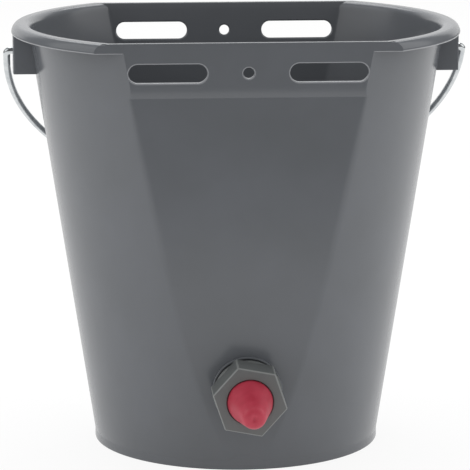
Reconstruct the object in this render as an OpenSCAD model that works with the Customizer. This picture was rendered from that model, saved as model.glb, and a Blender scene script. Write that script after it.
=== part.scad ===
// Calf feeder bucket: a tapered moulded bucket with a flat front and back, a
// hooked wire bail and a ball valve that carries a rubber teat.
// Millimetres, +Z up, origin at the middle of the base, teat towards -Y.

/* [Body] */
// Height from the ground to the crest of the rim
height = 285; // [260:1:320]
// Diameter of the round wall at the ground
base_d = 192; // [180:1:200]
// Diameter of the round wall at the height of the crest
mouth_d = 280; // [270:1:300]
// Thickness of the wall, measured level
wall = 2.8; // [2:0.1:4]
// Thickness of the floor
floor_t = 3.5; // [2.5:0.1:6]
// Radius of the inside corner between the wall and the floor
floor_fillet = 6; // [3:0.5:12]
// Height of the upright foot
foot_h = 5; // [3:0.5:12]
// How far the foot stands out from the wall above it
foot_out = 0.4; // [0.2:0.1:1.5]
// Chamfer round the foot's lower edge
foot_chamfer = 0.6; // [0.4:0.2:2]

/* [Flats] */
// How far each flat lies outside the round wall at the ground
flat_out = 0.4; // [0:0.1:2]
// How far each flat is set in from the round wall at the height of the crest
flat_in = 26.6; // [20:0.1:32]
// Height of the raised band at the top of each flat
band_h = 35; // [28:1:45]
// How far the band stands out from the flat below it
band_out = 0.9; // [0.5:0.1:2]
// Height of the rounded sweep that ends the band
sweep_h = 9; // [6:0.5:10]

/* [Rim] */
// Width of the rim, from the inside of the wall to its outer lip
rim_w = 14.7; // [12:0.1:18]
// Radius of the rim's rounded outer edge, which is also the height of the rim
rim_r = 6; // [5:0.25:8]
// Thickness of the rim
rim_wall = 2.6; // [2:0.1:3.5]

/* [Slots] */
// Length of a hanging slot, end to end
slot_l = 50.2; // [40:0.2:52]
// Width of a hanging slot
slot_w = 12; // [8:0.2:16]
// Distance between the centres of a pair of slots
slot_spacing = 103.3; // [96:0.1:104]
// Depth of the slots' centre line below the crest
slot_drop = 19; // [15:0.5:24]
// Diameter of the screw hole between the slots
screw_hole_d = 7; // [4:0.5:10]

/* [Ears] */
// Width of an ear
ear_w = 28; // [22:1:36]
// Depth of the ears below the crest
ear_h = 32; // [28:1:40]
// How far an ear's outer face is set in from the rim's lip
ear_in = 0.8; // [0.4:0.1:3]
// Thickness of an ear's outer face and sides
ear_wall = 2.6; // [2:0.1:4]
// Chamfer on the upright edges of an ear's outer face
ear_chamfer = 1; // [0.5:0.5:3]
// Depth of the bail's pivot below the crest
pivot_drop = 17.5; // [15:0.5:20]

/* [Bail] */
// Diameter of the wire
wire_d = 4.8; // [3:0.1:6]
// Radius of the bend beside each ear, to the middle of the wire
bail_bend = 3.1; // [3:0.1:8]
// Straight length from the pivot to the start of the arch
bail_leg = 10; // [8:1:30]
// Radial clearance of the wire in the ear's hole
bail_clear = 0.3; // [0.2:0.05:0.8]
// Gap from the end of each hook to the wall
hook_gap = 3; // [1:0.5:5]
// Gap between the hanging wire and the wall
hang_gap = 0.35; // [0.3:0.05:1]

/* [Teat valve] */
// Height of the valve's axis where it meets the front flat
valve_z = 55; // [45:1:80]
// Diameter of the valve's tube
tube_d = 34; // [30:0.5:38]
// Clearance around the tube, on the radius
tube_clear = 0.4; // [0.2:0.1:1]
// Diameter of the valve's head inside the bucket
head_d = 46; // [42:0.5:50]
// Thickness of the head
head_t = 3; // [2:0.5:5]
// Outside diameter of the inner gasket
inner_gasket_d = 44; // [40:0.5:46]
// Thickness of the inner gasket
inner_gasket_t = 2.5; // [1.5:0.5:4]
// Outside diameter of the washer on the front flat
washer_d = 46.5; // [42:0.5:50]
// Thickness of the washer
washer_t = 3; // [2:0.5:5]
// Outside diameter of the outer gasket
outer_gasket_d = 43.5; // [40:0.5:46]
// Thickness of the outer gasket
outer_gasket_t = 4; // [2:0.5:6]

/* [Union nut] */
// Width of the nut across its flats
nut_af = 42; // [40:0.5:46]
// Length of the nut
nut_l = 20; // [16:0.5:26]
// Thickness of the lip that holds the teat
nut_lip = 3; // [2:0.5:5]
// Turn of the nut about its axis
nut_turn = -11.2; // [-30:0.2:30]

/* [Teat] */
// Diameter of the teat where it leaves the nut
teat_d = 29.4; // [26:0.2:30]
// Diameter of the teat at its tip
teat_tip_d = 16.8; // [14:0.2:22]
// Length of the teat in front of the nut
teat_l = 26; // [24:0.5:60]
// Radius of the rounding at the tip
teat_round = 6; // [2:0.5:7]
// Thickness of the rubber
teat_wall = 3.2; // [2:0.1:4]
// Thickness of the teat's flange inside the nut
teat_flange_t = 3; // [2:0.5:4]
// Length of the slit across the tip
slit_l = 6; // [3:0.5:8]
// Width of the slit
slit_w = 0.8; // [0.4:0.1:1.5]

/* [Ball valve] */
// Diameter of the check ball
ball_d = 16; // [12:0.5:17]
// Radial clearance of the ball in its chamber
ball_clear = 0.4; // [0.3:0.05:0.8]
// Travel of the ball between its seat and the retainer
ball_travel = 4.5; // [3:0.5:6]
// End clearance of the ball at its seat and at the retainer
ball_gap = 0.3; // [0.2:0.05:0.5]
// Diameter of the inlet behind the seat
inlet_d = 11; // [8:0.5:11.5]
// Radius of the flutes that let the milk pass the ball
flute_r = 2.2; // [1.5:0.1:2.6]
// Diameter of the ball's retainer
retainer_d = 25; // [22:0.5:26]
// Thickness of the retainer
retainer_t = 3; // [2:0.5:4]
// Diameter of the retainer's passages
passage_d = 5; // [3:0.5:6]

/* [Hidden] */
$fn = 96;

// Spare length by which a cut passes a face
past = 1;
// Number of strips in a rounded profile
sweep_steps = 8;
fillet_steps = 6;
// Number of flutes in the chamber and passages in the retainer
flute_count = 4;
// Number of halvings that settle the bail's swing
halvings = 20;

// Taper of the round wall, and its radius at a height
taper = (mouth_d - base_d) / 2 / height;
function wall_r(z) = base_d / 2 + taper * z;
// Half-depth of the front and back flats at a height, and their lean
flat_base = base_d / 2 + flat_out;
flat_taper = (mouth_d / 2 - flat_in - flat_base) / height;
flat_lean = atan(flat_taper);
function flat_y(z) = flat_base + flat_taper * z;

// The rim springs from the wall here, with its inside flush with the wall's
spring_z = height - rim_r;
rim_in = wall_r(spring_z) - wall;
rim_out = rim_in + rim_w;
crest_r = rim_out - rim_r;
band_z = height - band_h;
sweep_r = (sweep_h * sweep_h + band_out * band_out) / 2 / band_out;
slot_z = height - slot_drop;
ear_z = height - ear_h;
pivot_z = height - pivot_drop;

// The arch of the bail is a half circle that clears both ears
wire_r = wire_d / 2;
arch_r = rim_out + bail_bend;
hook_x = wall_r(pivot_z) + hook_gap;

// Level gap from a point outside the bucket to its wall, and from the hanging
// wire to the wall when the bail is swung back from straight down
function wall_gap(p) = max((norm([p.x, p.y]) - wall_r(p.z)) * cos(atan(taper)),
                           (abs(p.y) - flat_y(p.z)) * cos(flat_lean));
function bail_point(turn, swing) =
    let (reach = bail_leg + arch_r * sin(turn))
    [arch_r * cos(turn), reach * sin(swing), pivot_z - reach * cos(swing)];
function bail_gap(swing) = min([for (turn = [10:1:90]) wall_gap(bail_point(turn, swing))]) - wire_r;
// Swing at which the wire hangs against the back wall, by halving the range
// between straight down and level
function hang_swing(low, high, steps) =
    let (mid = (low + high) / 2)
    steps == 0 ? high
    : bail_gap(mid) < hang_gap ? hang_swing(mid, high, steps - 1)
    : hang_swing(low, mid, steps - 1);
bail_swing = hang_swing(0, 90, halvings);

// Stations along the valve's axis, outwards from the front flat's outer face
wall_in = -wall * cos(flat_lean);
head_u = wall_in - inner_gasket_t;
gasket_u = washer_t;
nut_u = gasket_u + outer_gasket_t;
nut_end = nut_u + nut_l;
lip_u = nut_end - nut_lip;
tube_end = lip_u - teat_flange_t;
retainer_u = tube_end - retainer_t;
teat_end = nut_end + teat_l;

tube_r = tube_d / 2;
hole_r = tube_r + tube_clear;
teat_r = teat_d / 2;
tip_r = teat_tip_d / 2;
lip_r = teat_r + tube_clear;
flange_r = tube_r;
ball_r = ball_d / 2;
chamber_r = ball_r + ball_clear;
retainer_r = retainer_d / 2;
ball_u = retainer_u - ball_gap - ball_r;
// The seat's edge touches the ball at the end of its travel, less the gap
seat_u = ball_u - ball_travel - ball_gap - sqrt(ball_r * ball_r - inlet_d * inlet_d / 4);

// Block between the two flats, moved in from their outer faces by inset
module between_flats(inset = 0) {
    sweep_z = band_z + sweep_h;
    side = concat(
        [[flat_y(-past) - inset, -past]],
        [for (i = [0:sweep_steps])
            let (drop = sweep_h * (1 - i / sweep_steps))
            [flat_y(sweep_z - drop) + band_out - sweep_r + sqrt(sweep_r * sweep_r - drop * drop) - inset,
             sweep_z - drop]],
        [[flat_y(height + past) + band_out - inset, height + past]]);
    count = len(side);
    rotate([90, 0, 90])
        linear_extrude(height = 2 * (rim_out + past), center = true)
            polygon(concat(side, [for (i = [count - 1:-1:0]) [-side[i].x, side[i].y]]));
}

// Outside of the tapered wall, up to the spring of the rim, and of the foot
module pot() {
    foot_r = wall_r(foot_h) + foot_out;
    intersection() {
        translate([0, 0, foot_h])
            cylinder(h = spring_z - foot_h, r1 = wall_r(foot_h), r2 = wall_r(spring_z));
        between_flats();
    }
    rotate_extrude()
        polygon([[0, 0], [foot_r - foot_chamfer, 0], [foot_r, foot_chamfer], [foot_r, foot_h], [0, foot_h]]);
}

// Room inside, with a rounded corner round the floor
module cavity() {
    corner_z = floor_t + floor_fillet;
    corner_r = wall_r(corner_z) - wall - floor_fillet;
    intersection() {
        rotate_extrude()
            polygon(concat(
                [[0, spring_z + past], [0, floor_t]],
                [for (i = [0:fillet_steps])
                    let (turn = 90 * i / fillet_steps)
                    [corner_r + floor_fillet * sin(turn), corner_z - floor_fillet * cos(turn)]],
                [[rim_in, spring_z], [rim_in, spring_z + past]]));
        between_flats(wall);
    }
}

// Turned rim on the round ends, flat on top and rounded outwards, hollow
// underneath and closed at the flats
module rim() {
    channel_r = wall_r(spring_z);
    difference() {
        intersection() {
            rotate_extrude() {
                translate([rim_in, spring_z])
                    square([crest_r - rim_in, rim_r]);
                translate([crest_r, spring_z])
                    intersection() {
                        circle(rim_r);
                        square(rim_r);
                    }
            }
            between_flats();
        }
        intersection() {
            rotate_extrude() {
                translate([channel_r, spring_z - past])
                    square([crest_r - channel_r, rim_r - rim_wall + past]);
                translate([crest_r, spring_z])
                    circle(rim_r - rim_wall);
            }
            between_flats(wall);
        }
    }
}

// Straight top of each flat, up to the crest
module band_tops() {
    intersection() {
        translate([0, 0, spring_z])
            cylinder(h = rim_r, r = crest_r);
        difference() {
            between_flats();
            between_flats(wall);
        }
    }
}

// Plan of an ear, drawn in by inset from its outer face and its sides
module ear_plan(inset) {
    half = ear_w / 2 - inset;
    // The sides run on to the middle of the wall
    root_x = sqrt(pow(wall_r(ear_z), 2) - pow(ear_w / 2, 2)) - wall / 2;
    face_r = rim_out - ear_in - inset;
    corner_x = sqrt(face_r * face_r - half * half) - ear_chamfer;
    cut = ear_chamfer + 2 * past;
    intersection() {
        circle(face_r);
        polygon([[root_x, -half], [corner_x, -half], [corner_x + cut, cut - half],
                 [corner_x + cut, half - cut], [corner_x, half], [root_x, half]]);
    }
}

// Ear under each round end of the rim: a pocket that is open below
module ears() {
    for (turn = [0, 180])
        rotate([0, 0, turn])
            difference() {
                translate([0, 0, ear_z])
                    linear_extrude(height = spring_z - ear_z)
                        ear_plan(0);
                translate([0, 0, ear_z - past])
                    linear_extrude(height = spring_z - ear_z + 2 * past)
                        ear_plan(ear_wall);
            }
}

// Level cut through both flats at each hanging slot and screw hole
module hanging_cuts() {
    reach = 2 * (flat_y(height) + past);
    translate([0, 0, slot_z])
        rotate([90, 0, 0])
            linear_extrude(height = reach, center = true) {
                circle(d = screw_hole_d);
                for (side = [-1, 1])
                    translate([side * slot_spacing / 2, 0]) {
                        square([slot_l - slot_w, slot_w], center = true);
                        for (end = [-1, 1])
                            translate([end * (slot_l - slot_w) / 2, 0])
                                circle(d = slot_w);
                    }
            }
}

// Hole for the bail's hook in each ear's outer face
module bail_holes() {
    for (turn = [0, 180])
        rotate([0, 0, turn])
            translate([hook_x, 0, pivot_z])
                rotate([0, 90, 0])
                    cylinder(h = rim_out + past - hook_x, r = wire_r + bail_clear);
}

// Place children on the valve's axis, +Z outwards from the front flat
module on_valve_axis(u = 0) {
    translate([0, -flat_y(valve_z), valve_z])
        rotate([90 + flat_lean, 0, 0])
            translate([0, 0, u])
                children();
}

// Flat ring on the valve's axis
module ring(u, thickness, outer_r, inner_r) {
    on_valve_axis(u)
        difference() {
            cylinder(h = thickness, r = outer_r);
            translate([0, 0, -past])
                cylinder(h = thickness + 2 * past, r = inner_r);
        }
}

// Copies of a round cut, spaced evenly about the valve's axis
module round_cuts(u, length, cut_r, pitch_r) {
    for (i = [0:flute_count - 1])
        rotate([0, 0, 45 + 360 * i / flute_count])
            translate([pitch_r, 0, u])
                cylinder(h = length, r = cut_r);
}

module bucket_body() {
    color("#6c6e72")
        difference() {
            union() {
                difference() {
                    union() {
                        pot();
                        ears();
                    }
                    cavity();
                }
                rim();
                band_tops();
            }
            hanging_cuts();
            bail_holes();
            on_valve_axis(wall_in - past)
                cylinder(h = washer_t - wall_in + past, r = hole_r);
        }
}

// Half of the bail, hanging straight down from its pivot
module half_bail() {
    translate([rim_out, 0, 0])
        rotate([0, -90, 0])
            cylinder(h = rim_out - hook_x, r = wire_r);
    translate([rim_out, 0, -bail_bend])
        rotate([-90, 0, 0])
            rotate([0, 0, -90])
                rotate_extrude(angle = 90)
                    translate([bail_bend, 0])
                        circle(wire_r);
    translate([arch_r, 0, -bail_leg])
        cylinder(h = bail_leg - bail_bend, r = wire_r);
    translate([0, 0, -bail_leg])
        rotate([-90, 0, 0])
            rotate_extrude(angle = 90)
                translate([arch_r, 0])
                    circle(wire_r);
}

module bail() {
    color("#b4b8b8")
        translate([0, 0, pivot_z])
            rotate([bail_swing, 0, 0]) {
                half_bail();
                mirror([1, 0, 0])
                    half_bail();
            }
}

// Head inside the bucket and threaded tube, with a fluted chamber for the ball
module valve_body() {
    color("#5f6164")
        on_valve_axis()
            difference() {
                union() {
                    translate([0, 0, head_u - head_t])
                        cylinder(h = head_t, d = head_d);
                    translate([0, 0, head_u])
                        cylinder(h = tube_end - head_u, r = tube_r);
                }
                translate([0, 0, head_u - head_t - past])
                    cylinder(h = seat_u - head_u + head_t + 2 * past, d = inlet_d);
                translate([0, 0, seat_u])
                    cylinder(h = tube_end - seat_u + past, r = chamber_r);
                round_cuts(seat_u, tube_end - seat_u + past, flute_r, chamber_r);
                translate([0, 0, retainer_u])
                    cylinder(h = retainer_t + past, r = retainer_r);
            }
}

module inner_gasket() {
    color("#26282a")
        ring(head_u, inner_gasket_t, inner_gasket_d / 2, hole_r);
}

module backing_washer() {
    color("#6c6e72")
        ring(0, washer_t, washer_d / 2, hole_r);
}

module outer_gasket() {
    color("#1c1d1f")
        ring(gasket_u, outer_gasket_t, outer_gasket_d / 2, hole_r);
}

// Hexagon with a lip in front that clamps the teat's flange on the tube
module union_nut() {
    color("#5f6160")
        on_valve_axis(nut_u)
            difference() {
                rotate([0, 0, nut_turn])
                    cylinder(h = nut_l, d = nut_af / cos(30), $fn = 6);
                translate([0, 0, -past])
                    cylinder(h = nut_l - nut_lip + past, r = hole_r);
                cylinder(h = nut_l + past, r = lip_r);
            }
}

// Outline of the teat, moved in by inset, as a half section with rounded tip
module teat_section(inset) {
    round_r = teat_round - inset;
    lean = atan((teat_r - tip_r) / teat_l);
    centre_x = tip_r - teat_round;
    centre_u = teat_end - teat_round;
    polygon(concat(
        [[0, tube_end - past], [teat_r - inset, tube_end - past], [teat_r - inset, nut_end]],
        [for (i = [0:fillet_steps])
            let (turn = lean + (90 - lean) * i / fillet_steps)
            [centre_x + round_r * cos(turn), centre_u + round_r * sin(turn)]],
        [[0, teat_end - inset]]));
}

module teat() {
    color("#b23748")
        on_valve_axis()
            difference() {
                union() {
                    intersection() {
                        rotate_extrude()
                            teat_section(0);
                        translate([0, 0, tube_end])
                            cylinder(h = teat_end, r = flange_r);
                    }
                    translate([0, 0, tube_end])
                        cylinder(h = teat_flange_t, r = flange_r);
                }
                rotate_extrude()
                    teat_section(teat_wall);
                translate([-slit_w / 2, -slit_l / 2, teat_end - 2 * teat_wall])
                    cube([slit_w, slit_l, 3 * teat_wall]);
            }
}

// Disc in the end of the tube that stops the ball and lets the milk through
module ball_retainer() {
    color("#8a8c8e")
        on_valve_axis(retainer_u)
            difference() {
                cylinder(h = retainer_t, r = retainer_r - ball_gap);
                round_cuts(-past, retainer_t + 2 * past, passage_d / 2, ball_r);
            }
}

module check_ball() {
    color("#e8e8e4")
        on_valve_axis(ball_u)
            sphere(ball_r);
}

bucket_body();
bail();
valve_body();
inner_gasket();
backing_washer();
outer_gasket();
union_nut();
teat();
ball_retainer();
check_ball();
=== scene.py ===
"""Calf feeder bucket: a moulding with a flat front and back, a wire bail and a teat valve.

Pieces are modelled in millimetres in the CAD model's frame, with the origin under the middle
of the foot, the front towards -Y and Z up, and are scaled to metres when they are finished.
"""

import math

import bmesh
import bpy
from mathutils import Matrix, Vector


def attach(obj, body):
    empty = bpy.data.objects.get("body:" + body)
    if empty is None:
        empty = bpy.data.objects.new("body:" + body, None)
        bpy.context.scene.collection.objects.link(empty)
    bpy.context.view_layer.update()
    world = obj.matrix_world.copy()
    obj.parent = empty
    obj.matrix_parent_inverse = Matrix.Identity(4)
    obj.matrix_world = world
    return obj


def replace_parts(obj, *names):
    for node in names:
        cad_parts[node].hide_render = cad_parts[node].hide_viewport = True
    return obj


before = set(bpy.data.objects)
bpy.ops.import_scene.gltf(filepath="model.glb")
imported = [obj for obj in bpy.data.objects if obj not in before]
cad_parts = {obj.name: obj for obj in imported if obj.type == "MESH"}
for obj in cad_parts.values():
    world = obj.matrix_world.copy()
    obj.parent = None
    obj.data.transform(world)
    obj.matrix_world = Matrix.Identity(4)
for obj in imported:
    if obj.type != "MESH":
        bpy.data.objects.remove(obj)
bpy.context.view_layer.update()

MM = 0.001
# Places this near count as one, and vertices this near are merged
NEAR = 0.01
MERGE = 0.001
# Faces that would lie in one plane are kept this far apart
RIM_GAP = 0.03
FACE_GAP = 0.04

# Sizes of the moulding, in millimetres and degrees
HEIGHT = 285.0
BASE_R = 96.0
MOUTH_R = 140.0
FLAT_BASE = 96.4
FLAT_TOP = 113.4
WALL = 2.8
ROUND_WALL = 1.8
INNER_ROUND = 3.0
FLOOR_T = 3.5
FLOOR_ROUND = 6.0
UNDERSIDE_Z = 0.4
UNDERSIDE_ROUND = 3.0
FOOT_H = 5.0
FOOT_W = 9.0
FOOT_OUT = 0.15
FOOT_ROUND = 0.7
FOOT_STRAIGHT = 3.0
FOOT_RUN_OUT = 5.0
FOOT_SINK = 0.1
BAND_Z = 250.0
BAND_OUT = 0.9
BAND_ROUND = 0.6
SWEEP_H = 9.0
PANEL_ROUND = 11.5
PANEL_TOP_ROUND = 6.5
PANEL_SOFTENING = 30.0
CREST_ROUND = 0.8
RIM_W = 14.7
RIM_R = 6.0
RIM_TOP = 285.8
RIM_REACH = 4.8
RIM_WALL = 2.6
RIM_EDGE = 5.0
RIM_SWEEP = 62
LIP_ROUND = 1.2
RIM_END_CHAMFERS = {-45: 0.6, 45: 0.9}
SLOT_L = 50.2
SLOT_W = 12.0
SLOT_SPACING = 103.3
SLOT_Z = 266.0
SLOT_ROUND = 1.2
SLOT_ROUND_TURNS = (0, 22, 44, 64, 78)
SCREW_HOLE_R = 3.5
SCREW_ROUND = 1.1
# How far past a hole's rounded edge its painted highlight reaches
PAINTED_HIGHLIGHT_MARGIN = 0.15
EAR_W = 28.0
EAR_IN = 0.8
EAR_Z = 253.0
EAR_WALL = 2.6
EAR_ROUND = 1.0
EAR_INTO_RIM = 1.2
POCKET_BELOW_RIM = 0.6
PIVOT_Z = 267.5
WIRE_HOLE_R = 2.7
WIRE_HOLE_L = 20.0

# Sizes of the valve, with lengths along its axis outwards from the front flat
VALVE_Z = 55.0
VALVE_HOLE_R = 17.4
VALVE_HOLE_L = 30.0
WASHER_R = 23.25
WASHER_T = 3.0
WASHER_ROUND = 0.6
GASKET_R = 22.4
GASKET_T = 4.0
GASKET_ROUND = 0.8
NUT_AF = 43.0
NUT_L = 20.0
NUT_LIP = 3.0
NUT_TURN = -11.2
NUT_ROUND = 0.8
COLLAR_R = 22.4
COLLAR_L = 2.6
COLLAR_CLEAR = 0.5
COLLAR_SINK = 0.2
LIP_HOLE_R = 15.1
LIP_CHAMFER = 0.5
MOUTH_DEPTH = 10.0
TEAT_R = 14.7
TEAT_TIP_R = 8.2
TEAT_TIP_ROUND = 5.5
TEAT_STRAIGHT = 1.0
TEAT_SHOULDER = 9.0
TEAT_L = 35.0
TEAT_WALL = 3.2
TEAT_BORE_CHAMFER = (1.5, 2.0)
TEAT_FLANGE_T = 3.0
TEAT_FLANGE_R = VALVE_HOLE_R - 0.4
# Radius and depth of the dimple in the teat's tip, and the slit through it
TIP_DIMPLE = [(1.9, 0.15), (1.3, 0.5), (0, 0.7)]
TIP_SLIT = (0.12, 2.6, 12)

NUT_U = WASHER_T + GASKET_T
NUT_END = NUT_U + NUT_L
TUBE_END = NUT_END - NUT_LIP - TEAT_FLANGE_T
TEAT_END = NUT_END + TEAT_L

LEAN = math.atan((FLAT_TOP - FLAT_BASE) / HEIGHT)
SWEEP_R = (SWEEP_H**2 + BAND_OUT**2) / 2 / BAND_OUT
SPRING_Z = HEIGHT - RIM_R
# Top of the round wall, inside the rim
WALL_TOP = SPRING_Z + 1.65


def wall_r(z):
    """Radius of the round wall at a height."""
    return BASE_R + (MOUTH_R - BASE_R) * z / HEIGHT


def flat_y(z):
    """Half-depth of the leaning flats at a height."""
    return FLAT_BASE + (FLAT_TOP - FLAT_BASE) * z / HEIGHT


def raised(z):
    """How far the flat stands out: nothing on the panel, a rounded sweep, then the band."""
    drop = min(max(BAND_Z + SWEEP_H - z, 0.0), SWEEP_H)
    return BAND_OUT - SWEEP_R + math.sqrt(SWEEP_R**2 - drop**2)


def corner_round(z):
    """Radius of the corner of flat and round wall: soft on the panel, crisp on the band."""
    if z > BAND_Z:
        return BAND_ROUND
    fall = min((BAND_Z - z) / PANEL_SOFTENING, 1.0)
    gain = PANEL_ROUND - PANEL_TOP_ROUND
    return PANEL_TOP_ROUND + gain * fall * fall * (3.0 - 2.0 * fall)


RIM_OUT = wall_r(SPRING_Z) - WALL + RIM_W
CREST_R = RIM_OUT - RIM_REACH

# Stations across a quarter of the wall: 0 to 1 flat, 1 to 2 corner, 2 to 3 round
STATIONS = (
    [0.0, 0.25, 0.5, 0.75, 0.97]
    + [1.0 + i / 8 for i in range(9)]
    + [2.02]
    + [2.0 + i / 26 for i in range(1, 27)]
)
# Heights of the rows of the wall, close together at the band's lower edge and sweep
WALL_ROWS = (
    [12.0 + 9.0 * i for i in range(26)]
    + [242.0, 246.0, 248.6, 249.6, 250.0, 250.3]
    + [251.0 + 1.0 * i for i in range(9)]
    + [259.6, 266.0, 272.0, WALL_TOP]
)

# Shared steps of the modelling


def everything(bm):
    """All vertices, edges and faces, as the operators take them."""
    return bm.verts[:] + bm.edges[:] + bm.faces[:]


def verts_of(geom):
    """The vertices among what an operator made."""
    return [v for v in geom if isinstance(v, bmesh.types.BMVert)]


def open_edges(bm):
    """The edges of holes, with a face on one side only."""
    return [e for e in bm.edges if len(e.link_faces) == 1]


def point_outwards(bm):
    """Turns every face to the outside of its closed shape."""
    bmesh.ops.recalc_face_normals(bm, faces=bm.faces)


def round_edges(bm, edges, radius, segments):
    """Rounds edges as a moulded or cast edge is."""
    bmesh.ops.bevel(
        bm,
        geom=edges,
        offset=radius,
        segments=segments,
        profile=0.5,
        affect="EDGES",
        material=-1,
    )


def in_scene(name, data):
    """A new object that carries the data, linked into the scene."""
    made = bpy.data.objects.new(name, data)
    bpy.context.scene.collection.objects.link(made)
    return made


def as_object(name, bm):
    """A new object with the mesh of a bmesh, which is freed."""
    mesh = bpy.data.meshes.new(name)
    bm.to_mesh(mesh)
    bm.free()
    return in_scene(name, mesh)


def cut(bm, cutters):
    """The closed shape in bm with each closed cutter taken from it."""
    blank = as_object("blank", bm)
    tools = [as_object("cutter", cutter) for cutter in cutters]
    for tool in tools:
        step = blank.modifiers.new("cut", "BOOLEAN")
        step.object, step.operation, step.solver = tool, "DIFFERENCE", "EXACT"
    graph = bpy.context.evaluated_depsgraph_get()
    mesh = bpy.data.meshes.new_from_object(blank.evaluated_get(graph))
    done = bmesh.new()
    done.from_mesh(mesh)
    bpy.data.meshes.remove(mesh)
    for spare in [blank] + tools:
        used = spare.data
        bpy.data.objects.remove(spare)
        bpy.data.meshes.remove(used)
    return done


def gather(bm, other):
    """Adds a copy of another bmesh to bm and frees it."""
    mesh = bpy.data.meshes.new("blank")
    other.to_mesh(mesh)
    other.free()
    bm.from_mesh(mesh)
    bpy.data.meshes.remove(mesh)


def turned(profile, steps, place=Matrix.Identity(4)):
    """A closed half-section of (radius, height) points, turned about Z and put in place."""
    bm = bmesh.new()
    points = [bm.verts.new((r, 0.0, z)) for r, z in profile]
    for a, b in zip(points, points[1:] + points[:1]):
        if a.co.x > 0.0 or b.co.x > 0.0:
            bm.edges.new((a, b))
    bmesh.ops.spin(
        bm,
        geom=bm.verts[:] + bm.edges[:],
        cent=(0, 0, 0),
        axis=(0, 0, 1),
        angle=math.tau,
        steps=steps,
        use_merge=True,
    )
    bmesh.ops.remove_doubles(bm, verts=bm.verts, dist=MERGE)
    point_outwards(bm)
    bm.transform(place)
    return bm


def rounded(points, radius, steps=4):
    """An open chain of (radius, height) points with its inner corners rounded."""
    chain = [points[0]]
    for a, b, c in zip(points, points[1:], points[2:]):
        a, b, c = Vector(a), Vector(b), Vector(c)
        into, out = (a - b).normalized(), (c - b).normalized()
        half = into.angle(out) / 2
        back = radius / math.tan(half)
        start, end = b + into * back, b + out * back
        middle = b + (into + out).normalized() * radius / math.sin(half)
        for i in range(steps + 1):
            spoke = (start - middle).slerp(end - middle, i / steps)
            chain.append(tuple(middle + spoke * radius))
    return chain + [points[-1]]


def pin(radius, length, place):
    """A plain round cutter, centred on its place."""
    bm = bmesh.new()
    bmesh.ops.create_cone(
        bm,
        cap_ends=True,
        segments=48,
        radius1=radius,
        radius2=radius,
        depth=length,
        matrix=place,
    )
    return bm


def on_flat(z, out, back=False):
    """Place on the front or back flat: local Z out of the flat, local Y up along it."""
    upright = Matrix.Rotation(math.pi / 2 + LEAN, 4, "X")
    place = Matrix.Translation((0, -flat_y(z) - out, z)) @ upright
    return Matrix.Rotation(math.pi, 4, "Z") @ place if back else place


# Bucket


def quarter_point(station, z, inside):
    """Point of the wall's outline at a height, in the quarter towards +X and -Y."""
    if inside:
        reach, depth = wall_r(z) - ROUND_WALL, flat_y(z) - WALL
        bend = max(corner_round(z) - WALL, INNER_ROUND)
    else:
        reach, depth = wall_r(z), flat_y(z) + raised(z)
        bend = corner_round(z)
    middle = math.sqrt(max((reach - bend) ** 2 - (depth - bend) ** 2, 0.0))
    meet = math.atan2(depth - bend, middle)
    if station <= 1.0:
        return middle * station, -depth
    if station <= 2.0:
        turn = math.pi / 2 + (meet - math.pi / 2) * (station - 1.0)
        return middle + bend * math.cos(turn), bend - depth - bend * math.sin(turn)
    turn = meet * (3.0 - station)
    return reach * math.cos(turn), -reach * math.sin(turn)


def wall_sheet(inside, floor_z, floor_round):
    """One side of the wall, with its floor and the straight tops of its two flats."""
    bm = bmesh.new()
    columns, rows = len(STATIONS) - 1, len(WALL_ROWS) - 1
    grid = bmesh.ops.create_grid(bm, x_segments=columns, y_segments=rows, size=0.5)
    for v in grid["verts"]:
        station = STATIONS[round((v.co.x + 0.5) * columns)]
        z = WALL_ROWS[round((v.co.y + 0.5) * rows)]
        v.co = (*quarter_point(station, z, inside), z)
    for axis in "XY":
        bmesh.ops.mirror(bm, geom=everything(bm), merge_dist=MERGE, axis=axis)
    point_outwards(bm)

    # The floor, with its rounded corner
    low_z = WALL_ROWS[0]
    low = [e for e in open_edges(bm) if max(v.co.z for v in e.verts) < low_z + NEAR]
    drawn = bmesh.ops.extrude_edge_only(bm, edges=low)["geom"]
    shrink = quarter_point(3.0, floor_z, inside)[0] / quarter_point(3.0, low_z, inside)[0]
    for v in verts_of(drawn):
        v.co = (v.co.x * shrink, v.co.y * shrink, floor_z)
    ring = [e for e in open_edges(bm) if max(v.co.z for v in e.verts) < floor_z + NEAR]
    bmesh.ops.edgeloop_fill(bm, edges=ring)
    point_outwards(bm)
    round_edges(bm, ring, floor_round, 6)

    # The flats run straight up to the level of the rim's crest
    half, depth = quarter_point(1.0, WALL_TOP, inside)
    top = [
        e
        for e in open_edges(bm)
        if all(
            abs(abs(v.co.y) + depth) < NEAR and abs(v.co.x) < half + NEAR for v in e.verts
        )
    ]
    crest_depth = -quarter_point(1.0, RIM_TOP, inside)[1]
    crest_half = math.sqrt(CREST_R**2 - crest_depth**2)
    for v in verts_of(bmesh.ops.extrude_edge_only(bm, edges=top)["geom"]):
        x = math.copysign(crest_half, v.co.x) if abs(v.co.x) > half - NEAR else v.co.x
        v.co = (x, math.copysign(crest_depth, v.co.y), RIM_TOP)
    return bm


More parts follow.
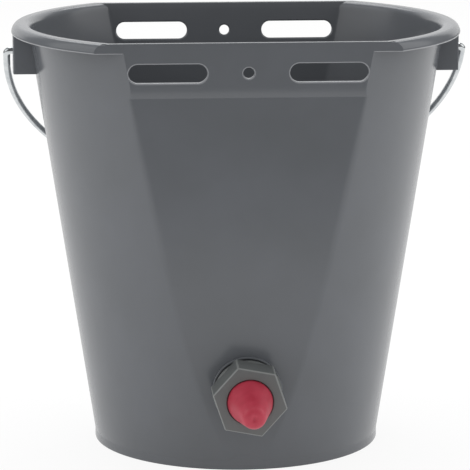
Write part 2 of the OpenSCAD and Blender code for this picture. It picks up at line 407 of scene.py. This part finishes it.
def slot_cutter(radius, half_straight, edge, place):
    """A round or long hole through a flat, rounded at its outer edge and chamfered inside."""
    segments, through = 48, WALL + BAND_OUT
    # Heights through the wall and how far the hole widens there
    steps = [(-through - edge, 2 * edge), (-through + 0.7 * edge, 0.0)]
    for turn in SLOT_ROUND_TURNS:
        bend = math.radians(turn)
        steps.append((edge * (math.sin(bend) - 1), edge * (1 - math.cos(bend))))
    steps.append((edge, 0.85 * edge))
    bm = bmesh.new()
    start = Matrix.Rotation(math.pi / segments, 4, "Z")
    bmesh.ops.create_circle(
        bm, cap_ends=True, segments=segments, radius=radius, matrix=start
    )
    top = bm.verts[:]
    for v in top:
        v.co.x += math.copysign(half_straight, v.co.x)
    for i, (u, grow) in enumerate(steps):
        if i:
            face = max(bm.faces, key=lambda f: f.calc_center_median().z)
            drawn = bmesh.ops.extrude_face_region(bm, geom=[face])["geom"]
            if i > 1:
                bmesh.ops.delete(bm, geom=[face], context="FACES_ONLY")
            top = verts_of(drawn)
        for v in top:
            end = Vector((math.copysign(half_straight, v.co.x), 0, 0))
            spoke = (Vector((v.co.x, v.co.y, 0)) - end).normalized()
            v.co = end + spoke * (radius + grow) + Vector((0, 0, u))
    point_outwards(bm)
    bm.transform(place)
    return bm


def rim_section():
    """Half-section of the rim: up inside the wall, over the rounded top and down to the lip."""
    # A hair proud of the wall and lower than the band's top
    top, proud = RIM_TOP - RIM_GAP, ROUND_WALL + RIM_GAP
    inner_edge = [
        (wall_r(SPRING_Z) - proud, SPRING_Z),
        (wall_r(top) - proud, top),
        (CREST_R, top),
    ]
    chain = rounded(inner_edge, RIM_EDGE, 8)[:-1]
    for i in range(9):
        turn = math.radians(9 * i)
        rise = (top - SPRING_Z) * math.cos(turn)
        chain.append((CREST_R + RIM_REACH * math.sin(turn), SPRING_Z + rise))
    lip = [chain[-1], (RIM_OUT, SPRING_Z), (CREST_R, SPRING_Z)]
    return chain + rounded(lip, LIP_ROUND)[1:-1]


def rims():
    """The rim on each round end, closed where it meets the flats and hollow below."""
    bm = bmesh.new()
    sweep = math.radians(RIM_SWEEP)
    start = Matrix.Rotation(-sweep, 3, "Z")
    points = [bm.verts.new(start @ Vector((r, 0, z))) for r, z in rim_section()]
    for a, b in zip(points, points[1:] + points[:1]):
        bm.edges.new((a, b))
    bmesh.ops.spin(
        bm,
        geom=bm.verts[:] + bm.edges[:],
        cent=(0, 0, 0),
        axis=(0, 0, 1),
        angle=2 * sweep,
        steps=72,
    )
    for side in (False, True):
        # The end face, just behind the band's, and the chamfers at its lower and upper edge
        face = on_flat(SPRING_Z, BAND_OUT - FACE_GAP, side)
        planes = [face]
        for tilt, size in RIM_END_CHAMFERS.items():
            edge = face @ Matrix.Translation((0, RIM_TOP - SPRING_Z if tilt > 0 else 0, 0))
            turn = Matrix.Rotation(math.radians(-tilt), 4, "X")
            planes.append(edge @ turn @ Matrix.Translation((0, 0, -size / math.sqrt(2))))
        for plane in planes:
            bmesh.ops.bisect_plane(
                bm,
                geom=everything(bm),
                plane_co=plane.translation,
                plane_no=plane.col[2].xyz,
                clear_outer=True,
            )
            bmesh.ops.edgeloop_fill(bm, edges=open_edges(bm))
    point_outwards(bm)
    # The ends' many-sided faces are split in one way, whatever order their edges came in
    ends = [f for f in bm.faces if len(f.verts) > 4 and f.normal.z > -0.99]
    bmesh.ops.triangulate(bm, faces=ends, ngon_method="BEAUTY")
    under = [f for f in bm.faces if f.normal.z < -0.99]
    bmesh.ops.inset_region(bm, faces=under, thickness=RIM_WALL, use_boundary=True)
    # The sharp inner corners stay within the wall
    limit = flat_y(SPRING_Z) + BAND_OUT - RIM_WALL
    for v in {v for f in under for v in f.verts if abs(v.co.y) > limit + 0.05}:
        v.co.x = math.sqrt((wall_r(SPRING_Z) - ROUND_WALL / 2) ** 2 - limit**2)
        v.co.y = math.copysign(limit, v.co.y)
    sunk = bmesh.ops.extrude_face_region(bm, geom=under)["geom"]
    bmesh.ops.delete(bm, geom=under, context="FACES")
    bmesh.ops.translate(bm, vec=(0, 0, RIM_R - RIM_WALL), verts=verts_of(sunk))
    bmesh.ops.mirror(bm, geom=everything(bm), axis="X")
    point_outwards(bm)
    return bm


def ear_block(inset, low, high):
    """The ear's plan drawn up between two heights, its root leaning with the wall."""
    half, outer = EAR_W / 2 - inset, RIM_OUT - EAR_IN - inset
    root_x = math.sqrt(wall_r(EAR_Z) ** 2 - (EAR_W / 2) ** 2) - ROUND_WALL / 2
    spread = math.asin(half / outer)
    front = [spread * (i / 4 - 1) for i in range(9)]
    plan = [(root_x, -half)]
    plan += [(outer * math.cos(turn), outer * math.sin(turn)) for turn in front]
    plan += [(root_x, half)]
    bm = bmesh.new()
    floor = bm.faces.new([bm.verts.new((x, y, low)) for x, y in plan])
    made = bmesh.ops.extrude_face_region(bm, geom=[floor])["geom"]
    bmesh.ops.translate(bm, vec=(0, 0, high - low), verts=verts_of(made))
    for v in bm.verts:
        if v.co.x < root_x + NEAR:
            v.co.x += wall_r(v.co.z) - wall_r(EAR_Z)
    corners = [
        e
        for e in bm.edges
        if abs(e.verts[0].co.z - e.verts[1].co.z) > 1
        and all(abs(abs(v.co.y) - half) < NEAR and v.co.x > outer - 2 for v in e.verts)
    ]
    point_outwards(bm)
    round_edges(bm, corners, EAR_ROUND, 4)
    return bm


def ears():
    """The pocket under each round end that the bail hooks into, open below."""
    across = Matrix.Rotation(math.pi / 2, 4, "Y")
    hole = pin(WIRE_HOLE_R, WIRE_HOLE_L, Matrix.Translation((RIM_OUT, 0, PIVOT_Z)) @ across)
    pocket = ear_block(EAR_WALL, EAR_Z - 1, SPRING_Z - POCKET_BELOW_RIM)
    bm = cut(ear_block(0, EAR_Z, SPRING_Z + EAR_INTO_RIM), [pocket, hole])
    bmesh.ops.mirror(bm, geom=everything(bm), axis="X")
    point_outwards(bm)
    return bm


def foot():
    """The low foot, which runs out into the wall above it."""
    foot_r = wall_r(FOOT_H) + FOOT_OUT
    inner_r, end_z = foot_r - FOOT_W, FOOT_H + FOOT_RUN_OUT
    section = rounded([(inner_r, 0), (foot_r, 0), (foot_r, FOOT_STRAIGHT)], FOOT_ROUND)
    section += [(flat_y(end_z) - FOOT_SINK, end_z), (inner_r, end_z)]
    return turned(section, 128)


def paint_bucket_highlights(bm):
    """Marks the faces that get a paler painted highlight: the rounded edges round the hanging
    holes and along the lip.
    """
    painted_highlight = bm.faces.layers.float.new("painted_highlight")
    for face in bm.faces:
        middle, facing = face.calc_center_median(), face.normal
        rise, beside = middle.z - SLOT_Z, abs(middle.x) - SLOT_SPACING / 2
        across = max(abs(beside) - (SLOT_L - SLOT_W) / 2, 0.0)
        # The band's own corners beside the slots face away from them
        away = facing.x * math.copysign(1.0, middle.x) * beside > 1.0
        slot_reach = SLOT_W / 2 + SLOT_ROUND + PAINTED_HIGHLIGHT_MARGIN
        near_slot = math.hypot(across, rise) < slot_reach and not away
        screw_reach = SCREW_HOLE_R + SCREW_ROUND + PAINTED_HIGHLIGHT_MARGIN
        near_screw = math.hypot(middle.x, rise) < screw_reach
        # Between the band's face and the wall of the hole
        outside = abs(middle.y) > flat_y(middle.z) - 0.6
        hole = (near_slot or near_screw) and outside and 0.2 < abs(facing.y) < 0.97
        outermost = middle.xy.length > RIM_OUT - LIP_ROUND or abs(middle.y) > flat_y(SPRING_Z)
        # Between the rim's outer face and its underside
        low = -0.1 < middle.z - SPRING_Z < LIP_ROUND
        lip = outermost and low and -0.95 < facing.z < -0.2
        face[painted_highlight] = 1.0 if hole or lip else 0.0


def bucket_shell():
    """The moulding: its two wall sheets bridged and pierced, with foot, rims and ears."""
    bm = wall_sheet(False, UNDERSIDE_Z, UNDERSIDE_ROUND)
    gather(bm, wall_sheet(True, FLOOR_T, FLOOR_ROUND))
    bmesh.ops.bridge_loops(bm, edges=open_edges(bm))
    point_outwards(bm)
    crest = [
        e
        for e in bm.edges
        if all(abs(v.co.z - RIM_TOP) < NEAR for v in e.verts)
        and abs(e.verts[0].co.y - e.verts[1].co.y) < NEAR
        and len(e.link_faces) == 2
        and e.calc_face_angle() > 1.0
    ]
    round_edges(bm, crest, CREST_ROUND, 3)

    cutters = []
    for back in (False, True):
        band = on_flat(SLOT_Z, BAND_OUT, back)
        for side in (-1, 1):
            place = band @ Matrix.Translation((side * SLOT_SPACING / 2, 0, 0))
            half_straight = (SLOT_L - SLOT_W) / 2
            cutters.append(slot_cutter(SLOT_W / 2, half_straight, SLOT_ROUND, place))
        cutters.append(slot_cutter(SCREW_HOLE_R, 0.0, SCREW_ROUND, band))
    cutters.append(pin(VALVE_HOLE_R, VALVE_HOLE_L, on_flat(VALVE_Z, 0)))
    bm = cut(bm, cutters)
    for part in (foot(), rims(), ears()):
        gather(bm, part)
    paint_bucket_highlights(bm)
    return bm


# Valve


def union_nut():
    """The hexagon nut, with a lip over the teat's flange and a round collar at its back."""
    bm = bmesh.new()
    turn = Matrix.Rotation(math.radians(NUT_TURN + 30), 4, "Z")
    corner_r = NUT_AF / 2 / math.cos(math.pi / 6)
    bmesh.ops.create_cone(
        bm,
        cap_ends=True,
        segments=6,
        radius1=corner_r,
        radius2=corner_r,
        depth=NUT_L,
        matrix=Matrix.Translation((0, 0, NUT_U))
        @ turn
        @ Matrix.Translation((0, 0, NUT_L / 2)),
    )
    round_edges(bm, bm.edges[:], NUT_ROUND, 4)
    thread_z = NUT_END - NUT_LIP - NUT_L / 2
    thread = pin(VALVE_HOLE_R, NUT_L, Matrix.Translation((0, 0, thread_z)))
    mouth = [
        (0, NUT_END - MOUTH_DEPTH),
        (LIP_HOLE_R, NUT_END - MOUTH_DEPTH),
        (LIP_HOLE_R, NUT_END - LIP_CHAMFER),
        (LIP_HOLE_R + 2 * LIP_CHAMFER, NUT_END + LIP_CHAMFER),
        (0, NUT_END + LIP_CHAMFER),
    ]
    bm = cut(bm, [thread, turned(mouth, 64)])
    # The painted highlight on the rounded edges between its faces
    inner_r = VALVE_HOLE_R + COLLAR_CLEAR
    painted_highlight = bm.faces.layers.float.new("painted_highlight")
    for face in bm.faces:
        facing = face.normal
        around = (math.degrees(math.atan2(facing.y, facing.x)) - NUT_TURN) % 60
        side = abs(facing.z) < 0.02 and abs(around - 30) < 3
        plain = side or abs(facing.z) > 0.98
        outside = face.calc_center_median().xy.length > inner_r
        face[painted_highlight] = 1.0 if outside and not plain else 0.0
    collar = [
        (inner_r, NUT_U + FACE_GAP),
        (COLLAR_R, NUT_U + FACE_GAP),
        (COLLAR_R, NUT_U + COLLAR_L / 2),
        (NUT_AF / 2 - COLLAR_SINK, NUT_U + COLLAR_L),
        (inner_r, NUT_U + COLLAR_L),
    ]
    gather(bm, turned(collar, 96))
    bm.transform(on_flat(VALVE_Z, 0))
    return bm


def teat():
    """The hollow teat: flange, shoulder and domed tip, with a dimple and a slit in the tip."""
    shoulder = [
        (TEAT_R, TUBE_END + TEAT_FLANGE_T),
        (TEAT_R, NUT_END + TEAT_STRAIGHT),
        (TEAT_TIP_R, TEAT_END - TEAT_TIP_ROUND),
    ]
    outer = rounded(shoulder, TEAT_SHOULDER, 6)[:-1]
    for i in range(11):
        turn = math.radians(20 + 7 * i)
        r = TEAT_TIP_R - TEAT_TIP_ROUND * (1 - math.cos(turn))
        outer.append((r, TEAT_END - TEAT_TIP_ROUND * (1 - math.sin(turn))))
    outer += [(r, TEAT_END - depth) for r, depth in TIP_DIMPLE]
    bore_r, bore_end = TEAT_TIP_R - TEAT_WALL, TEAT_END - TEAT_WALL
    across, along = TEAT_BORE_CHAMFER
    inner = [
        (0, bore_end),
        (bore_r - across, bore_end),
        (bore_r, bore_end - along),
        (TEAT_R - TEAT_WALL, NUT_END),
        (TEAT_R - TEAT_WALL, TUBE_END),
        (TEAT_FLANGE_R, TUBE_END),
        (TEAT_FLANGE_R, TUBE_END + TEAT_FLANGE_T),
    ]
    slit = bmesh.new()
    place = Matrix.Translation((0, 0, TEAT_END)) @ Matrix.Diagonal((*TIP_SLIT, 1))
    bmesh.ops.create_cube(slit, size=1, matrix=place)
    bm = cut(turned(outer + inner, 72), [slit])
    bm.transform(on_flat(VALVE_Z, 0))
    return bm


def flat_ring(u, thickness, outer_r, edge):
    """A washer on the valve's axis with its outer edges rounded."""
    end = u + thickness
    chain = [(VALVE_HOLE_R, u), (outer_r, u), (outer_r, end), (VALVE_HOLE_R, end)]
    return turned(rounded(chain, edge), 96, on_flat(VALVE_Z, 0))


# Materials

# Part of the noise's range over which a surface clouds from its first shade to its second
CLOUD_RANGE = (0.3, 0.7)
RELIEF_DEPTH = 0.1 * MM


def linear(code):
    """Linear colour of an sRGB hex code."""
    parts = [int(code[i : i + 2], 16) / 255 for i in (1, 3, 5)]
    lit = [c / 12.92 if c <= 0.04045 else ((c + 0.055) / 1.055) ** 2.4 for c in parts]
    return (*lit, 1.0)


def per_metre(size_mm):
    """Scale of a pattern whose features are this size."""
    return 1.0 / (size_mm * MM)


def add(tree, kind, links=None, **settings):
    """Adds a node with its settings, and sets or links its sockets."""
    made = tree.nodes.new(kind)
    for name, value in settings.items():
        setattr(made, name, value)
    for socket, value in (links or {}).items():
        if isinstance(value, bpy.types.NodeSocket):
            tree.links.new(value, made.inputs[socket])
        else:
            made.inputs[socket].default_value = value
    return made


def bare_tree(owner):
    """The emptied node tree of a new material or world."""
    owner.use_nodes = True
    owner.node_tree.nodes.clear()
    return owner.node_tree


def surface(name, shades, cloud_mm, rough, grain_mm, relief, fixed, painted_highlight=None, detail=3.0):
    """A material that clouds between two near shades and two near roughnesses over a fine
    relief, with a paler painted highlight on marked faces, and with fixed values set on its
    shader."""
    material = bpy.data.materials.new(name)
    tree = bare_tree(material)
    place = add(tree, "ShaderNodeTexCoord").outputs["Object"]
    clouds = {"Vector": place, "Scale": per_metre(cloud_mm), "Detail": detail}
    cloud = add(tree, "ShaderNodeTexNoise", clouds).outputs["Fac"]
    shade = add(tree, "ShaderNodeValToRGB", {"Fac": cloud})
    for stop, position, code in zip(shade.color_ramp.elements, CLOUD_RANGE, shades):
        stop.position, stop.color = position, linear(code)
    colour = shade.outputs["Color"]
    # Painted highlight: faces marked as edges that catch the light get a paler colour
    if painted_highlight:
        edge = add(tree, "ShaderNodeAttribute", attribute_name="painted_highlight").outputs["Fac"]
        sockets = {0: edge, 6: colour, 7: linear(painted_highlight)}
        colour = add(tree, "ShaderNodeMix", sockets, data_type="RGBA").outputs[2]
    span = dict(zip(("From Min", "From Max", "To Min", "To Max"), CLOUD_RANGE + rough))
    gloss = add(tree, "ShaderNodeMapRange", {"Value": cloud, **span})
    grains = {"Vector": place, "Scale": per_metre(grain_mm), "Detail": 2.0}
    grain = add(tree, "ShaderNodeTexNoise", grains).outputs["Fac"]
    heights = {"Height": grain, "Strength": relief, "Distance": RELIEF_DEPTH}
    bump = add(tree, "ShaderNodeBump", heights)
    looks = {
        "Base Color": colour,
        "Roughness": gloss.outputs["Result"],
        "Normal": bump.outputs["Normal"],
        **fixed,
    }
    shader = add(tree, "ShaderNodeBsdfPrincipled", looks)
    add(tree, "ShaderNodeOutputMaterial", {"Surface": shader.outputs["BSDF"]})
    return material


# The grain of these surfaces is 0.1 mm or finer, and is drawn coarser so that it shows

# Polypropylene, injection moulded: satin, faintly clouded by the flow of the melt, with a
# spark-eroded grain that breaks up its highlights, and a paler painted highlight on its marked
# edges
grey_polypropylene = surface(
    "moulded_polypropylene_grey",
    shades=("#66696d", "#6a6d72"),
    # Colour of the painted highlight on the edges of the holes and the lip
    painted_highlight="#909296",
    cloud_mm=45,
    rough=(0.2, 0.23),
    grain_mm=0.7,
    relief=0.06,
    fixed={"IOR": 1.52},
)
# Steel wire, drawn, bent and zinc plated: bright, with a bluish clouding and faint die lines
zinc_wire = surface(
    "zinc_plated_wire",
    shades=("#bfc3c6", "#d9dcdd"),
    cloud_mm=6,
    detail=4.0,
    rough=(0.22, 0.14),
    grain_mm=0.8,
    relief=0.04,
    fixed={"Metallic": 1.0},
)
# Nylon, injection moulded: duller than the bucket and a more neutral grey, with a paler painted
# highlight on its edges
valve_nylon = surface(
    "moulded_nylon_grey",
    shades=("#656868", "#6b6e6d"),
    # Colour of the painted highlight on the nut's rounded edges
    painted_highlight="#8b8e8d",
    cloud_mm=14,
    rough=(0.37, 0.47),
    grain_mm=0.7,
    relief=0.1,
    fixed={"IOR": 1.53},
)
# Rubber, vulcanised in a mould: nearly black and matt, with a dusty grain
black_rubber = surface(
    "vulcanised_rubber_black",
    shades=("#161718", "#1f2021"),
    cloud_mm=6,
    rough=(0.57, 0.67),
    grain_mm=0.6,
    relief=0.25,
    fixed={"IOR": 1.52},
)
# Natural rubber, moulded: a soft, uneven red with a dull sheen
red_rubber = surface(
    "natural_rubber_red",
    shades=("#bb3247", "#c83f54"),
    cloud_mm=8,
    rough=(0.4, 0.5),
    grain_mm=0.6,
    relief=0.15,
    fixed={"IOR": 1.52},
)
# Acetal, machined: white, smooth and a little shiny
white_acetal = surface(
    "acetal_white",
    shades=("#dcdcd6", "#e9e9e4"),
    cloud_mm=8,
    rough=(0.25, 0.35),
    grain_mm=0.6,
    relief=0.06,
    fixed={"IOR": 1.48},
)

# Pieces

SHARP_ANGLE = math.radians(32)


def piece(name, bm, material):
    """Finishes a bmesh in millimetres as an object in metres that rides on the bucket."""
    bmesh.ops.scale(bm, vec=(MM, MM, MM), verts=bm.verts)
    made = as_object(name, bm)
    made.data.shade_smooth()
    made.data.set_sharp_from_angle(angle=SHARP_ANGLE)
    made.data.materials.append(material)
    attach(made, "bucket")
    return made


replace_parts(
    piece("bucket_shell", bucket_shell(), grey_polypropylene),
    "bucket_body",
)
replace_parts(piece("hex_nut", union_nut(), valve_nylon), "union_nut")
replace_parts(piece("sucking_teat", teat(), red_rubber), "teat")
washer = flat_ring(0, WASHER_T, WASHER_R, WASHER_ROUND)
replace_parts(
    piece("outer_washer", washer, grey_polypropylene),
    "backing_washer",
)
gasket = flat_ring(WASHER_T, GASKET_T, GASKET_R, GASKET_ROUND)
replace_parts(piece("outer_seal", gasket, black_rubber), "outer_gasket")

for node, material in {
    "bail": zinc_wire,
    "valve_body": valve_nylon,
    "inner_gasket": black_rubber,
    "ball_retainer": white_acetal,
    "check_ball": white_acetal,
}.items():
    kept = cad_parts[node].data
    kept.materials.clear()
    kept.materials.append(material)

# Floor, light and camera, in metres

TABLE_FRONT = -0.6
TABLE_HALF_W = 1.0
TABLE_WIDENING = 2.0
BACKDROP_Y = 6.0
BACKDROP_HALF_W = 5.0
BACKDROP_H = 4.0
# How much of the floor's look to the camera and in reflections is plain white
FLOOR_GLOW = 0.9
# Strength of the world as fill light and in reflections
WORLD_FILL = 0.57
WORLD_REFLECTED = 0.15
# Place, size and power of each softbox
SOFTBOXES = {
    "left_softbox": ((-1.5, -0.1, 0.85), 1.4, 5.6),
    "right_softbox": ((1.5, -0.1, 0.85), 1.4, 6.6),
    "back_softbox": ((0.0, 1.2, 2.4), 2.4, 52.0),
}
SOFTBOX_AIM = Vector((0, 0, 0.14))
CAMERA_TURN = math.radians(-4.265)
CAMERA_RISE = math.radians(11.13)
CAMERA_DISTANCE = 2.0076
CAMERA_AIM = Vector((-0.00049, 0, 0.13896))
CAMERA_LENS = 225.2
CAMERA_SENSOR = 36.0


def white_floor():
    """A white table that ends in front of the bucket and widens behind it, and a backdrop."""
    bm = bmesh.new()
    middle, half = (BACKDROP_Y + TABLE_FRONT) / 2, (BACKDROP_Y - TABLE_FRONT) / 2
    table = Matrix.Translation((0, middle, 0)) @ Matrix.Diagonal((TABLE_HALF_W, half, 1, 1))
    bmesh.ops.create_grid(bm, x_segments=1, y_segments=1, size=1.0, matrix=table)
    far = [v for v in bm.verts if v.co.y > middle]
    bmesh.ops.scale(bm, vec=(TABLE_WIDENING, 1, 1), verts=far)
    upright = Matrix.Rotation(math.pi / 2, 4, "X")
    size = Matrix.Diagonal((BACKDROP_HALF_W, BACKDROP_H / 2, 1, 1))
    backdrop = Matrix.Translation((0, BACKDROP_Y, BACKDROP_H / 2)) @ upright @ size
    bmesh.ops.create_grid(bm, x_segments=1, y_segments=1, size=1.0, matrix=backdrop)
    floor = as_object("floor", bm)

    # White to the camera and in reflections, and still darkened by the bucket's shadow
    material = bpy.data.materials.new("studio_floor")
    tree = bare_tree(material)
    path = add(tree, "ShaderNodeLightPath").outputs
    rays = {0: path["Is Camera Ray"], 1: path["Is Glossy Ray"]}
    seen = add(tree, "ShaderNodeMath", rays, operation="MAXIMUM").outputs[0]
    share = add(tree, "ShaderNodeMath", {0: seen, 1: FLOOR_GLOW}, operation="MULTIPLY")
    matt = add(tree, "ShaderNodeBsdfDiffuse", {"Color": linear("#f4f4f4")})
    glow = add(tree, "ShaderNodeEmission", {"Color": linear("#ffffff"), "Strength": 1.0})
    mix = {0: share.outputs[0], 1: matt.outputs[0], 2: glow.outputs[0]}
    mixed = add(tree, "ShaderNodeMixShader", mix)
    add(tree, "ShaderNodeOutputMaterial", {"Surface": mixed.outputs[0]})
    # Only seen, never sampled as a lamp
    material.cycles.emission_sampling = "NONE"
    floor.data.materials.append(material)


def white_world():
    """White to the camera, dim in reflections, and a soft fill for the rest."""
    world = bpy.data.worlds.new("studio")
    tree = bare_tree(world)
    path = add(tree, "ShaderNodeLightPath").outputs
    levels = {"Value": path["Is Glossy Ray"], "To Min": WORLD_FILL, "To Max": WORLD_REFLECTED}
    fill = add(tree, "ShaderNodeMapRange", levels).outputs["Result"]
    levels = {"Value": path["Is Camera Ray"], "To Min": fill, "To Max": 1.0}
    level = add(tree, "ShaderNodeMapRange", levels).outputs["Result"]
    white = {"Color": linear("#ffffff"), "Strength": level}
    sky = add(tree, "ShaderNodeBackground", white)
    add(tree, "ShaderNodeOutputWorld", {"Surface": sky.outputs[0]})
    world.cycles.sampling_method = "NONE"
    bpy.context.scene.world = world


def softboxes():
    """Square area lamps, all turned to the middle of the bucket."""
    for name, (spot, size, power) in SOFTBOXES.items():
        lamp = bpy.data.lights.new(name, "AREA")
        lamp.size, lamp.energy = size, power
        made = in_scene(name, lamp)
        made.location = spot
        aim = SOFTBOX_AIM - Vector(spot)
        made.rotation_euler = aim.to_track_quat("-Z", "Y").to_euler()


def photo_camera():
    """The camera at the photograph's viewing angle, distance and framing."""
    level = math.cos(CAMERA_RISE)
    back = Vector(
        (
            math.sin(CAMERA_TURN) * level,
            -math.cos(CAMERA_TURN) * level,
            math.sin(CAMERA_RISE),
        )
    )
    lens = bpy.data.cameras.new("photo_camera")
    lens.lens, lens.sensor_width = CAMERA_LENS, CAMERA_SENSOR
    camera = in_scene("photo_camera", lens)
    camera.location = CAMERA_AIM + back * CAMERA_DISTANCE
    camera.rotation_euler = (-back).to_track_quat("-Z", "Y").to_euler()
    bpy.context.scene.camera = camera


white_floor()
white_world()
softboxes()
photo_camera()
bpy.context.scene.view_settings.view_transform = "Standard"
